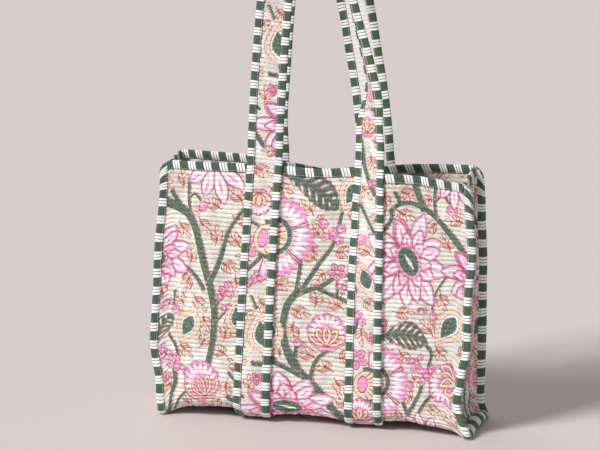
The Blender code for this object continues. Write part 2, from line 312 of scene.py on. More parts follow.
def two_faced(name, shown, hidden, step, material):
    """A closed cloth from a fine grid of points that shows, and a grid step times coarser that doesn't."""
    top = numbered(shown)
    bottom = top.size + numbered(hidden)
    faces = quads(top) + [face[::-1] for face in quads(bottom)]
    fine, coarse = border(top), border(bottom)
    for i, corner in enumerate(coarse):
        run = [fine[(i * step + k) % len(fine)] for k in range(step + 1)]
        faces.append([int(n) for n in (corner, coarse[(i + 1) % len(coarse)], *reversed(run))])
    points = np.concatenate([shown.reshape(-1, 3), hidden.reshape(-1, 3)])
    return closed_piece(name, points, faces, material)


def give(obj, name, values, rest=0.0):
    """A number on every point of a piece, for its material to read. Points past the values get the rest."""
    numbers = np.full(len(obj.data.vertices), rest, np.float32)
    numbers[: np.size(values)] = np.ravel(values)
    obj.data.attributes.new(name, "FLOAT", "POINT").data.foreach_set("value", numbers)


def steps_over(length, size, multiple):
    """How many steps of about that size there are in a length, rounded to a multiple."""
    return max(1, round(length / size / multiple)) * multiple


# The print. Points of the cloth are (a, b) in millimetres: a across from the middle of a panel, b down from
# its front rim. The whole layout comes again at every step of the repeat.

REPEAT = (462.0, 400.0)
INKS = ("green", "dark", "pink", "white", "peach", "rust", "rose")
FAR = 20.0


class Cloth:
    """Printed cloth: for each ink, how far every point is outside of it. Below 0 the point has that ink."""

    def __init__(self, a, b):
        self.points = np.stack([np.ravel(a), np.ravel(b)], -1)
        self.order = np.argsort(self.points[:, 1], kind="stable")
        self.heights = self.points[self.order, 1]
        self.fields = np.full((len(INKS), len(self.points)), FAR)
        self.low, self.high = self.points.min(0), self.points.max(0)

    def copies(self, a, b, angle, size, reach):
        """For each copy of a motif near the cloth: u along it, v across it, and a mm, in shares of its size.

        Ink then goes on that copy's points. reach is how far from (a, b) it may need them.
        """
        centre, self.size = np.array([a, b]), size
        turn = np.array([[math.cos(angle), -math.sin(angle)], [math.sin(angle), math.cos(angle)]])
        first = np.floor((self.low - reach * size - centre) / REPEAT).astype(int)
        last = np.ceil((self.high + reach * size - centre) / REPEAT).astype(int)
        for i in range(first[0], last[0] + 1):
            for j in range(first[1], last[1] + 1):
                place = centre + np.multiply((i, j), REPEAT)
                start, end = np.searchsorted(self.heights, (place[1] - reach * size, place[1] + reach * size))
                near = self.order[start:end]
                self.near = near[np.abs(self.points[near, 0] - place[0]) < reach * size]
                if len(self.near):
                    u, v = ((self.points[self.near] - place) @ turn).T / size
                    yield u, v, 1 / size

    def copies_between(self, start, end, reach):
        """The same for a motif that runs from one point to another, which is at u = 1."""
        a, b = np.subtract(end, start)
        return self.copies(*start, math.atan2(b, a), math.hypot(a, b), reach)

    def ink(self, distance, *inks_and_widths):
        """Prints a shape, in rings from its edge inwards: an ink, its ring's width in mm, the next ink.

        distance is a share of the motif's size, and negative inside the shape.
        """
        distance = distance * self.size
        for ink, width in zip(inks_and_widths[::2], (*inks_and_widths[1::2], 0.0)):
            row = INKS.index(ink)
            held = self.fields[:, self.near]
            own = np.minimum(held[row], distance)
            held = np.maximum(held, -distance)
            held[row] = own
            self.fields[:, self.near] = held
            distance = distance + width


def oval(u, v, half_length, half_width):
    return (np.hypot(u / half_length, v / half_width) - 1) * min(half_length, half_width)


def petal(u, v, length, half_width, fullness=0.8):
    """A pointed petal from the origin along +u. Below 1, fullness puts its widest part towards the tip."""
    half = half_width * np.sin(math.pi * np.clip(u / length, 0, 1) ** (1 / fullness)) ** 0.8
    distance = np.where(u < 0, np.hypot(u, v), (np.abs(v) - half) * 0.85)
    return np.where(u > length, np.hypot(u - length, v), distance)


def turned(u, v, angle):
    return u * math.cos(angle) + v * math.sin(angle), v * math.cos(angle) - u * math.sin(angle)


def ray(u, v, angle, foot, *shape):
    """A petal that points away from the origin at an angle, and begins at its foot's distance from it."""
    u, v = turned(u, v, angle)
    return petal(u - foot, v, *shape)


def polar(u, v):
    """Distance from the origin, and bearing."""
    return np.hypot(u, v), np.arctan2(v, u)


def zigzag(angle, count):
    """Teeth between 0 and 1, so many to a full turn."""
    return np.abs((angle * count / (2 * math.pi)) % 1 * 2 - 1)


def lotus(cloth, a, b, angle, size, width, height):
    """A big open flower, of a width and height: rings of pointed petals round a green oval heart."""
    for across, down, mm in cloth.copies(a, b, 0.0, size, 1.1):
        u, v = turned(across / width, down / height, angle)
        for count, reach, half, shift in ((9, 1.0, 0.19, 0.0), (8, 0.80, 0.15, 0.35), (7, 0.56, 0.13, 0.1)):
            for k in range(count):
                turn = 2 * math.pi * k / count + shift
                length = reach * (0.92 + 0.08 * math.cos(3 * k + shift))
                cloth.ink(ray(u, v, turn, 0, length, half, 0.72), "rose", 1.5, "pink", 2.4, "white")
                cloth.ink(ray(u, v, turn, length * 0.42, length * 0.40, 0.028), "pink")
        cloth.ink(oval(u, v, 0.36, 0.27) + mm * zigzag(np.arctan2(v, u), 20), "rose", 1.2, "pink")
        cloth.ink(oval(u, v, 0.29, 0.20), "dark", 1.0, "green")
        cloth.ink(petal(u + 0.18, v, 0.36, 0.03), "white")


def half_open(cloth, a, b, angle, size):
    """A flower from its side, opening along +u: toothed lobes round a green arc that holds a peach heart."""
    for u, v, mm in cloth.copies(a, b, angle, size, 1.15):
        for k in (-1, 1, 0):
            pu, pv = turned(u, v, k * 1.12)
            reach, bearing = polar(pu, pv)
            edge = reach - (0.90 - 0.32 * bearing**2 + 0.09 * zigzag(bearing, 34))
            cloth.ink(np.maximum(edge, (np.abs(bearing) - 0.54) * reach * 0.85), "rose", 1.5, "pink")
            for j in range(-2, 3):
                qu, qv = turned(pu, pv, j * 0.20)
                cloth.ink(petal(qu - 0.44, qv, 0.40, 0.052, 1.1), "white")
                cloth.ink(oval(qu - 0.52, qv, 0.05, 0.8 * mm), "rose")
        reach, bearing = polar(u, v)
        cloth.ink(reach - 0.36, "rust", 1.2, "peach")
        for k in range(-3, 4):
            cloth.ink(ray(u + 0.22, v, k * 0.30, 0.18, 0.36, 0.9 * mm), "rust")
        cloth.ink(oval(u + 0.13, v, 0.13, 0.22), "rose", 1.2, "pink")
        arc = np.maximum(np.abs(reach - 0.39) - 0.06, (np.abs(bearing) - 2.0) * reach)
        cloth.ink(arc, "dark", 1.1, "green")


def fan(cloth, a, b, angle, size):
    """A round ruffled flower, with peach petals that rise from its base towards +u."""
    for u, v, mm in cloth.copies(a, b, angle, size, 0.62):
        reach, bearing = polar(u, v)
        scallop = 0.05 * np.abs(np.cos(bearing * 4.5)) + 0.025 * zigzag(bearing, 44)
        cloth.ink(reach - (0.45 + scallop), "rose", 1.5, "pink")
        for k in range(-6, 7):
            pu, pv = turned(u, v, k * 0.36)
            cloth.ink(petal(pu - 0.20, pv, 0.25, 0.045, 0.9), "white")
            cloth.ink(petal(pu - 0.34, pv - 0.07, 0.10, 0.8 * mm), "rose")
        for lean in (-0.95, 0.95, -0.48, 0.48, 0.0):
            cloth.ink(ray(u + 0.38, v, lean, 0, 0.58, 0.13), "rust", 1.3, "peach", 2.6, "rust", 1.1, "pink")


def bellflower(cloth, a, b, angle, size):
    """A hanging flower of broad pointed petals that opens along +u under a green cap."""
    for u, v, mm in cloth.copies(a, b, angle, size, 1.3):
        for lean, reach in ((-1.25, 0.95), (1.15, 0.85), (-0.72, 1.05), (0.50, 0.90), (-0.12, 1.10)):
            cloth.ink(ray(u, v, lean, 0, reach, 0.19, 0.74), "rose", 1.3, "pink", 1.2, "white")
            cloth.ink(ray(u, v, lean, 0.35, 0.50, 0.035), "pink")
        cloth.ink(oval(u + 0.02, v, 0.20, 0.42), "dark", 1.0, "green")
        for k in range(-2, 3):
            cloth.ink(oval(u, v - k * 0.14, 1.2 * mm, mm), "rose")


def rosette(cloth, a, b, size):
    """A small flower of five round petals."""
    for u, v, mm in cloth.copies(a, b, 0.4, size, 1.3):
        for k in range(5):
            pu, pv = turned(u, v, 2 * math.pi * k / 5)
            cloth.ink(oval(pu - 0.58, pv, 0.44, 0.36), "rose", 1.2, "pink")
            cloth.ink(petal(pu - 0.25, pv, 0.5, 0.8 * mm), "rose")
        cloth.ink(oval(u, v, 0.20, 0.20), "rust", 0.9, "peach")


def pod(cloth, a, b, angle, size):
    """A seed pod along u: green in white, in a wavy peach border with a row of dots."""
    for u, v, mm in cloth.copies(a, b, angle, size, 1.3):
        bearing = np.arctan2(v, u * 0.6)
        outer = petal(u + 1, v, 2, 0.72) - 0.05 * zigzag(bearing, 22)
        cloth.ink(outer, "rust", 1.0, "peach")
        cloth.ink(np.abs(outer + 3.2 * mm) - mm * (0.7 - 1.6 * zigzag(bearing, 30)), "rust")
        cloth.ink(petal(u + 0.76, v, 1.55, 0.48), "rose", 1.0, "white")
        cloth.ink(petal(u + 0.58, v, 1.2, 0.34) - 1.2 * mm * zigzag(bearing, 26), "dark", 1.2, "green")


def berry(cloth, a, b, size):
    """An oval pink berry with red dots, under a crown of three peach leaves."""
    for u, v, mm in cloth.copies(a, b, (a * 0.37 + b * 0.11) % 6.28, size, 2.6):
        for k in (-1, 1, 0):
            cloth.ink(ray(u - 0.7, v, k * 0.75, 0, 1.15, 0.30), "rust", 0.9, "peach")
        cloth.ink(oval(u, v, 1, 0.86), "rose", 1.1, "pink")
        for k in range(9):
            pu, pv = turned(u, v, 2.4 * k)
            cloth.ink(oval(pu - 0.24 * math.sqrt(k), pv, 1.1 * mm, 0.9 * mm), "rose" if k % 3 else "white")


def cluster(cloth, a, b, size):
    """A bunch of little flowers."""
    for k in range(5):
        bearing, reach = 2.4 * k + a, size * 0.48 * math.sqrt(k)
        place = (a + reach * math.cos(bearing), b + reach * math.sin(bearing))
        for u, v, mm in cloth.copies(*place, bearing, size, 1):
            distance, way = polar(u, v)
            cloth.ink(distance - (0.44 + 0.07 * np.cos(5 * way)), "rose", 1.4, "pink")
            cloth.ink(np.hypot(u - 0.5 * mm, v) - 1.3 * mm, "rose")
            cloth.ink(oval(u + 0.2, v, 1.6 * mm, mm), "white")


def leaf(cloth, start, end, width):
    """A peach leaf with a thin edge, from its stalk to its tip."""
    for u, v, mm in cloth.copies_between(start, end, 1.2):
        bend = v - 0.12 * np.sin(math.pi * np.clip(u, 0, 1))
        cloth.ink(petal(u, bend, 1, width / 2 * mm, 0.95), "rust", 1.1, "peach")


def big_leaf(cloth, start, end, half_width):
    """A dark green leaf with white ribs, from its stalk to its tip."""
    for u, v, mm in cloth.copies_between(start, end, 1.15):
        bend = v + 0.10 * np.sin(math.pi * np.clip(u, 0, 1))
        blade = petal(u, bend, 1, (half_width + 0.6) * mm, 0.66)
        cloth.ink(blade - 1.6 * mm * np.abs(np.sin(u / mm * math.pi / 9)), "rose", 0.9, "dark", 1.4, "green")
        for k in range(1, 7):
            reach = half_width * 1.15 * math.sin(math.pi * (0.12 * k + 0.14)) * mm
            for side in (-1, 1):
                rib = ray(u - (0.02 + 0.13 * k), bend - side * 1.5 * mm, side * 0.85, 0, reach, 1.9 * mm)
                cloth.ink(rib, "rose", 0.7, "white")
        cloth.ink(petal(u - 3 * mm, bend, 0.88, 0.9 * mm), "dark")


def curve_through(points, count):
    """Points along a smooth curve through the given ones."""
    points = np.array(points, float)
    ends = np.vstack([2 * points[0] - points[1], points, 2 * points[-1] - points[-2]])
    t = np.linspace(0, len(points) - 1 - 1e-9, count)
    i = t.astype(int)
    f = (t - i)[:, None]
    a, b, c, d = (ends[i + k] for k in range(4))
    return 0.5 * (2 * b + (c - a) * f + (2 * a - 5 * b + 4 * c - d) * f**2 + (3 * b - a - 3 * c + d) * f**3)


def vine(cloth, points, start_width, end_width, thin_ink=None):
    """A stem that tapers along a smooth curve, with a dark edge on one side and red dots along the other."""
    path = curve_through(points, 8 * len(points))
    centre = (path.min(0) + path.max(0)) / 2
    reach = float(np.abs(path - centre).max()) + start_width + 5
    for u, v, _ in cloth.copies(*centre, 0.0, 1, reach):
        place = np.stack([u, v], -1) + centre
        best = np.full(len(u), 1e3)
        run, side = np.zeros(len(u)), np.zeros(len(u))
        for k, along in enumerate(np.diff(path, axis=0)):
            offset = place - path[k]
            share = np.clip(offset @ along / (along @ along), 0, 1)
            distance = np.hypot(*(offset - share[:, None] * along).T)
            closer = distance < best
            best = np.where(closer, distance, best)
            run = np.where(closer, (k + share) / (len(path) - 1), run)
            side = np.where(closer, along[0] * offset[:, 1] - along[1] * offset[:, 0], side)
        edge = best - (start_width + (end_width - start_width) * run) / 2
        if thin_ink:
            cloth.ink(edge, thin_ink)
            continue
        length = float(np.hypot(*np.diff(path, axis=0).T).sum())
        dots = np.where(np.sin(run * length * 2 * math.pi / 4.4) > -0.3, 0.0, 1.6)
        cloth.ink(np.where(side < 0, edge - 1.5 + dots, 9.0), "rose")
        cloth.ink(edge, "dark", 0.5, "green")
        cloth.ink(np.where(side > 0, np.abs(edge + 0.9) - 0.9, 9.0), "dark")


def stem(cloth, start_width, end_width, *points):
    vine(cloth, np.reshape(points, (-1, 2)), STEM_SCALE * start_width, STEM_SCALE * end_width)


def spray(cloth, start, end, pairs):
    """A thin stem with pairs of peach leaves, and a leaf at its tip."""
    along = end - start
    across = np.array([-along[1], along[0]])
    way = along / np.hypot(*along)
    vine(cloth, [start, start + 0.5 * along + 0.10 * across, end], 1.5, 1.3, "rust")
    for k in range(pairs):
        foot = start + along * (0.25 + 0.6 * k / pairs) + 0.07 * across
        for side in (-1, 1):
            out = way * 0.72 + side * 0.70 * np.array([-way[1], way[0]])
            leaf(cloth, foot, foot + out * LEAF_LENGTH, 6.4)
    leaf(cloth, end, end + way * LEAF_LENGTH, 6.2)


# Sprays fill the bare ground: the grid that is searched, the room that one needs, how far apart they are,
# half of the longest one, how far past its ends must be bare, and how many ways it is turned to find that.
SPRAY_STEP = 4.0
SPRAY_ROOM = 5.5
SPRAY_SPACING = 27.0
LONGEST_HALF = 13.0
LOOK_PAST = 6
WAYS = 16
# A spray has a second and a third pair of leaves when its half is longer than these.
PAIR_HALVES = (7, 11)
LEAF_LENGTH = 13.0
STEM_SCALE = 0.86
# Layout of the print, in the order of printing: each motif, and what each of its copies is made with. A stem
# is its first width, its last width, and then a and b of the points that it runs through.
LAYOUT = (
    (
        stem,
        (
            14, 11, -232, 52, -207, 64, -188, 74, -175, 91, -166, 112, -157, 138, -148, 163, -141, 187, -137,
            211, -138, 244, -141, 266, -146, 284,
        ),
        (7, 8, -214, 43, -204, 58, -188, 72),
        (10, 4, -147, 168, -138, 148, -131, 125, -125, 99, -116, 80, -104, 63, -92, 52),
        (6, 6, -172, 4, -184, 22, -188, 48, -185, 72),
        (4, 4, -186, 50, -178, 45, -169, 53),
        (7, 6, -155, 175, -166, 161, -179, 150, -193, 145),
        (4, 4, -179, 152, -188, 162),
        (4, 4, -199, 182, -200, 200),
        (4, 6, -206, 244, -196, 259, -193, 273),
        (9, 6, -202, 293, -203, 309, -210, 327, -219, 352, -226, 380),
        (6, 4, -183, 322, -197, 333, -210, 351),
        (4, 4, -138, 200, -126, 186),
        (4, 4, -137, 224, -122, 206),
        (6, 6, -37, 106, -25, 117, -21, 134, -25, 168),
        (8, 5, -23, 175, -8, 151, 4, 130, 17, 111, 24, 93, 28, 70, 31, 50),
        (9, 6, -25, 176, -8, 167, 7, 162, 24, 150, 44, 144),
        (6, 6, 1, 164, 16, 171, 32, 177, 50, 184),
        (
            11, 14, -23, 171, -35, 188, -39, 205, -41, 224, -38, 241, -32, 258, -20, 279, -4, 296, 10, 311,
            24, 329, 39, 347, 52, 370,
        ),
        (7, 7, -72, 269, -54, 271, -35, 278, -18, 288),
        (5, 6, -59, 258, -47, 271),
        (6, 7, -22, 248, -23, 265, -18, 279),
        (6, 7, 17, 252, 6, 263, 0, 278, -3, 297),
        (9, 12, 124, -34, 130, -1, 138, 20, 148, 43),
        (
            6, 13, 103, 51, 114, 41, 130, 38, 147, 42, 164, 51, 179, 64, 192, 79, 203, 95, 212, 113, 217,
            135, 219, 160,
        ),
        (6, 7, 104, 48, 104, 61, 96, 76),
        (6, 6, 173, 3, 166, 14, 165, 31, 168, 54),
        (4, 4, 168, 29, 178, 22, 188, 31),
        (6, 6, 173, 129, 190, 132, 207, 136, 224, 148),
        (4, 4, 190, 132, 180, 143, 169, 162, 165, 183),
        (6, 6, 158, 233, 168, 245, 166, 262),
        (9, 7, 157, 280, 155, 298, 144, 316, 133, 332, 128, 352),
        (7, 6, 182, 300, 162, 317, 145, 336),
        (6, 8, 115, 296, 124, 314, 130, 334, 131, 360),
        (4, 6, 28, 176, 30, 158),
        (6, 6, 109, 25, 116, 39),
        (5, 5, -90, 72, -71, 82, -56, 96),
        (6, 6, -88, 140, -69, 119, -62, 98),
        (5, 5, -94, 192, -89, 168, -82, 160),
        (5, 5, -72, 192, -80, 176),
        (9, 8, -112, 328, -94, 345, -76, 368),
        (5, 5, -113, 292, -98, 305, -84, 318),
        (9, 9, 57, -44, 66, -8, 84, 24),
        (6, 6, 62, 42, 75, 61, 88, 80),
        (8, 8, 46, 352, 69, 332, 92, 318),
        (6, 5, 46, 284, 61, 293, 80, 302),
        (7, 6, 47, 236, 60, 213, 66, 192),
    ),
    (
        berry, (-164, 62, 8), (6, 75, 8), (192, 40, 9), (148, 186, 6), (167, 193, 7), (96, 204, 6),
        (-20, 242, 7), (-213, 200, 7), (-197, 208, 7), (-96, 266, 9), (66, 88, 9), (138, 290, 6),
        (-214, 299, 6), (-3, 112, 5), (200, 262, 7), (60, 118, 7),
    ),
    (
        cluster, (-124, 180, 13), (-117, 202, 10), (21, 92, 14), (143, 256, 12), (162, 271, 14),
        (-214, 266, 12), (-195, 284, 13), (-87, 158, 13), (60, 194, 13), (-70, 148, 10), (36, 160, 9),
        (-150, 390, 12), (20, 390, 12), (84, 12, 10),
    ),
    (
        rosette, (28, 141, 13), (-82, 106, 16), (64, 252, 16), (-92, 2, 10), (88, 222, 10), (-66, 290, 10),
    ),
    (big_leaf, ((-52, 12), (26, 56), 17), ((84, 226), (160, 228), 18), ((-240, 262), (-200, 216), 14)),
    (
        pod, (-178, 230, -1.1, 26), (42, 34, -1.1, 27), (190, 208, -0.95, 30), (110, 0, 1.5, 24),
        (-62, 226, 1.35, 30), (-104, 212, 1.4, 24), (74, 140, 1.2, 24),
    ),
    (bellflower, (-150, 2, 1.35, 54), (196, -6, 1.7, 42), (150, 372, -0.9, 42)),
    (half_open, (-61, 96, 0.15, 61), (80, 288, 0.10, 57)),
    (
        fan, (-157, 309, -1.95, 64), (17, 226, -1.57, 54), (69, 328, -1.57, 42), (-78, 46, 1.57, 38),
        (197, 284, 2.6, 56),
    ),
    (
        lotus, (128, 119, 0.9, 78, 0.80, 0.98), (-232, 132, 0.4, 60, 0.95, 0.95),
        (-31, 336, 0.3, 66, 1.05, 0.85),
    ),
)


def large_motifs(cloth):
    """Everything but the sprays."""
    for motif, *copies in LAYOUT:
        for copy in copies:
            motif(cloth, *copy)


def bare_ground():
    """Sprays for the ground that the large motifs leave bare: middle, half of the stem, pairs of leaves."""
    across, down = np.meshgrid(np.arange(0, REPEAT[0], SPRAY_STEP), np.arange(0, REPEAT[1], SPRAY_STEP))
    cloth = Cloth(across, down)
    large_motifs(cloth)
    room = cloth.fields.min(0).reshape(across.shape)
    sprays = []
    for i in np.argsort(-room, axis=None, kind="stable"):
        if room.flat[i] < SPRAY_ROOM:
            break
        place = np.array([across.flat[i], down.flat[i]])
        apart = [np.abs(place - middle) for middle, _, _ in sprays]
        if any(np.hypot(*np.minimum(gap, REPEAT - gap)) < SPRAY_SPACING for gap in apart):
            continue
        half = min(1.3 * room.flat[i], LONGEST_HALF)
        scored = []
        for k in range(WAYS):
            way = np.array([math.cos(2 * math.pi * k / WAYS), math.sin(2 * math.pi * k / WAYS)])
            ends = [place + side * (half + LOOK_PAST) * way for side in (-1, 1)]
            cells = [np.round(end % REPEAT / SPRAY_STEP).astype(int) - 1 for end in ends]
            scored.append((min(room[row, column] for column, row in cells) + math.cos(k + place[0]), -k, way))
        sprays.append((place, half * max(scored)[2], 1 + sum(half > longer for longer in PAIR_HALVES)))
    return sprays


SPRAYS = bare_ground()


def print_on(obj, a, b):
    """Prints an object whose first points are at (a, b) metres on the cloth. The others are hidden."""
    cloth = Cloth(a * 1000, b * 1000)
    for place, half, pairs in SPRAYS:
        spray(cloth, place - half, place + half * 0.6, pairs)
    large_motifs(cloth)
    for ink, field in zip(INKS, cloth.fields):
        give(obj, ink, field, FAR)
    give(obj, "across", a)
    give(obj, "along", wandering(a, b))


# Materials


class Nodes:
    """A material's node tree, with short ways to add what cloth needs."""

    def __init__(self, name):
        self.material = bpy.data.materials.new(name)
        self.material.use_nodes = True
        self.tree = self.material.node_tree

    def fill(self, node, inputs):
        """Puts a value or another node's output on each named or numbered input."""
        for key, value in inputs.items():
            if isinstance(value, bpy.types.NodeSocket):
                self.tree.links.new(value, node.inputs[key])
            else:
                node.inputs[key].default_value = value

    def add(self, kind, inputs, output=0, **settings):
        """Adds a node, and returns one of its outputs."""
        node = self.tree.nodes.new(kind)
        for key, value in settings.items():
            setattr(node, key, value)
        self.fill(node, inputs)
        return node.outputs[output]

    def math(self, operation, *values):
        return self.add("ShaderNodeMath", dict(enumerate(values)), operation=operation)

    def times(self, a, b):
        return self.math("MULTIPLY", a, b)

    def plus(self, a, b):
        return self.math("ADD", a, b)

    def distance(self, a, b):
        return self.math("ABSOLUTE", self.math("SUBTRACT", a, b))

    def from_middle(self, count):
        """How far a running count is from the middle of its step, where a step is 1 long."""
        return self.distance(self.math("FRACT", count), 0.5)

    def number(self, name):
        return self.add("ShaderNodeAttribute", {}, "Fac", attribute_name=name)

    def ramp(self, *value_and_ends):
        """A value turned into another from two ends to two others, which are 0 and 1 if none are given."""
        return self.add("ShaderNodeMapRange", dict(enumerate(value_and_ends)))

    def mix(self, share, a, b, blend="MIX"):
        return self.add("ShaderNodeMix", {"Factor": share, 6: a, 7: b}, 2, data_type="RGBA", blend_type=blend)

    def noise(self, scale, detail=3.0):
        place = self.add("ShaderNodeTexCoord", {}, "Object")
        return self.add("ShaderNodeTexNoise", {"Vector": place, "Scale": scale, "Detail": detail}, "Fac")

    def jitter(self, scale, detail, size):
        """Noise around 0."""
        return self.times(self.math("SUBTRACT", self.noise(scale, detail), 0.5), size)

    def bump(self, height, distance, strength, **under):
        inputs = {"Height": height, "Distance": distance, "Strength": strength, **under}
        return self.add("ShaderNodeBump", inputs)

    def threads(self, across, along, pitch, depth):
        """The bumps of warp and weft threads that pass over and under each other."""
        warp = self.math("SINE", self.times(across, 2 * math.pi / pitch))
        weft = self.math("SINE", self.times(along, 2 * math.pi / pitch))
        return self.bump(self.times(warp, weft), depth, 0.6)

    def finish(self, **inputs):
        self.fill(self.tree.nodes["Principled BSDF"], {key.replace("_", " "): inputs[key] for key in inputs})
        return self.material

    def cloth(self, colour, normal):
        """Finishes a soft, dull cloth."""
        look = {"Roughness": 0.92, "Sheen_Weight": 0.12, "Sheen_Roughness": 0.5, "Specular_IOR_Level": 0.25}
        return self.finish(Base_Color=colour, Normal=normal, **look)


def linear(red, green, blue):
    """A colour from its usual 0 to 255 values."""
    return tuple(((c / 255 + 0.055) / 1.055) ** 2.4 for c in (red, green, blue)) + (1.0,)


GROUND = linear(245, 242, 233)
GROUND_DEEP = linear(215, 206, 194)
INK_COLOURS = {
    "green": linear(78, 110, 88),
    "dark": linear(44, 66, 52),
    "pink": linear(246, 157, 206),
    "white": linear(253, 246, 248),
    "peach": linear(248, 222, 192),
    "rust": linear(172, 54, 64),
    "rose": linear(180, 40, 98),
}


def quilting_lines(n, across, along):
    """Where the stitch rows are, and along them where a stitch lies and where it dips: three shares. The
    materials paint shade from them, and a highlight between stitches.
    """
    row = n.math("DIVIDE", along, ROW)
    line = n.ramp(n.from_middle(row), 0.36, 0.49)
    shifted = n.math("MULTIPLY_ADD", n.math("ROUND", row), 0.37, n.math("DIVIDE", across, STITCH))
    in_stitch = n.from_middle(shifted)
    return line, n.times(line, n.ramp(in_stitch, 0.32, 0.24)), n.times(line, n.ramp(in_stitch, 0.30, 0.42))


def printed_cotton(name, strength):
    """Quilted cotton with the floral print: ink edges from the points' own numbers, and rows of stitches, with
    painted shade in the rows' valleys and in the stitches' dimples, and a painted highlight between stitches.
    """
    n = Nodes(name)
    across, along = n.number("across"), n.number("along")
    wobble = n.jitter(900.0, 2.0, 0.5)
    colour = n.mix(n.ramp(n.noise(40.0), 0.35, 0.70), GROUND, GROUND_DEEP)
    for ink in INKS:
        share = n.times(n.ramp(n.plus(n.number(ink), wobble), 0.42, -0.26), strength)
        worn = n.mix(n.ramp(n.noise(420.0), 0.35, 0.75, 0.0, 0.22), INK_COLOURS[ink], GROUND)
        if ink == "green":
            worn = n.mix(n.ramp(n.noise(330.0, 2.0), 0.46, 0.66, 0.0, 0.60), worn, INK_COLOURS["dark"])
        colour = n.mix(share, colour, worn)
    line, stitch, hole = quilting_lines(n, across, along)
    shadow = n.times(line, n.ramp(n.noise(45.0), 0.35, 0.65, 0.04, 0.36))
    colour = n.mix(shadow, colour, linear(178, 158, 142), "MULTIPLY")
    # Painted shade in the dimple where a stitch lies, and a painted highlight on the cloth that puffs up where
    # the stitch dips between stitches.
    colour = n.mix(n.times(stitch, 0.12), colour, linear(128, 98, 84))
    colour = n.mix(n.times(hole, 0.20), colour, linear(250, 238, 218))
    pucker = n.bump(n.noise(160.0), 0.0008, 0.6, Normal=n.threads(across, along, 0.00055, 0.00008))
    return n.cloth(colour, n.bump(n.math("SUBTRACT", hole, stitch), 0.0008, 0.9, Normal=pucker))


def plain_cotton(name):
    """White cotton with a quilting line, painted as shade along the rows and at the stitches, on the underside
    of the straps.
    """
    n = Nodes(name)
    across, along = n.number("across"), n.number("along")
    colour = n.mix(n.noise(60.0), linear(246, 243, 240), linear(232, 226, 222))
    line, stitch, _ = quilting_lines(n, across, along)
    # Painted shade along the rows' valleys and in the stitches' dimples.
    for share, strength in ((line, 0.25), (stitch, 0.3)):
        colour = n.mix(n.times(share, strength), colour, linear(170, 160, 155))
    pucker = n.bump(n.noise(160.0), 0.0008, 0.6, Normal=n.threads(across, along, 0.00055, 0.00008))
    return n.cloth(colour, pucker)


def striped_tape(name):
    """Binding tape: green blocks and white ones with two dark lines in them, and a row of topstitching."""
    n = Nodes(name)
    run, edge = n.number("run"), n.number("edge")
    uneven = n.plus(n.jitter(700.0, 2.0, 0.0006), n.jitter(24.0, 1.0, 0.006))
    skewed = n.plus(n.plus(run, n.times(edge, n.number("slant"))), uneven)
    stripes = n.tree.nodes.new("ShaderNodeValToRGB")
    stripes.color_ramp.interpolation = "CONSTANT"
    green, dark, white = linear(70, 92, 72), linear(56, 76, 64), linear(254, 253, 254)
    stops = ((0, green), (0.50, white), (0.62, dark), (0.66, white), (0.79, dark), (0.83, white), (0.96, green))
    elements = stripes.color_ramp.elements
    for i, (position, colour) in enumerate(stops):
        element = elements[i] if i < 2 else elements.new(position)
        element.position = position
        element.color = colour
    n.fill(stripes, {0: n.math("FRACT", n.math("DIVIDE", skewed, STRIPE_PERIOD))})
    faded = n.mix(n.ramp(n.noise(500.0), 0.4, 0.75, 0.0, 0.20), stripes.outputs[0], linear(150, 165, 152))
    seam = n.distance(edge, 0.0014)
    in_dash = n.from_middle(n.math("DIVIDE", run, 0.0034))
    stitch = n.times(n.ramp(seam, 0.00034, 0.00022), n.ramp(in_dash, 0.36, 0.28))
    colour = n.mix(n.times(stitch, 0.8), faded, linear(236, 234, 228))
    valley = n.bump(n.ramp(seam, 0.0009, 0.0001), -0.0005, 0.9, Normal=n.threads(run, edge, 0.0005, 0.00007))
    crumple = n.bump(n.noise(220.0), 0.0009, 0.6, Normal=valley)
    return n.cloth(colour, n.bump(stitch, 0.0003, 0.8, Normal=crumple))


# Pieces


def wandering(across, along):
    """The rows of stitches are not quite straight: where along them a place counts as being."""
    return along + 0.0011 * waves(across, along, 0.07, 90)


def quilt_relief(across, along, seed):
    """How far quilted cloth stands up between its rows of stitches."""
    row = np.abs(np.sin(math.pi * wandering(across, along) / ROW))
    row = 0.5 * (row + row**2)
    tufts = 0.00060 * waves(across, along * 0.6, 0.011, seed)
    dips = 0.00022 * np.sin(across * 2 * math.pi / STITCH + 2.3 * np.round(along / ROW)) * (1 - row)
    return QUILT_PUFF * (row - 0.85) + tufts * row + dips


def bag_cloth(name, shown, hidden, step, material, a, b, *nodes):
    """A printed cloth of the bag's own body, from its points in the straight."""
    cloth = two_faced(name, settle(shown), settle(hidden), step, material)
    print_on(cloth, a, b)
    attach(cloth, "bag")
    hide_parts(*nodes)
    return cloth


def body_cloth(name, step, pitches, out, behind, material, shift, *nodes):
    """One face of the long body panel, with rows along the outline and columns across."""
    rows, columns = steps_over(FULL_RUN, pitches[0], step), steps_over(2 * EDGE_X, pitches[1], step)
    s = np.linspace(TAPE + GAP, FULL_RUN - TAPE - GAP, rows + 1)
    x, s = np.meshgrid(np.linspace(-EDGE_X, EDGE_X, columns + 1), s)
    hidden = body_point(x[::step, ::step], s[::step, ::step], -OUTER_HALF + behind)
    return bag_cloth(name, body_point(x, s, out(x, s)), hidden, step, material, x + shift, s, *nodes)


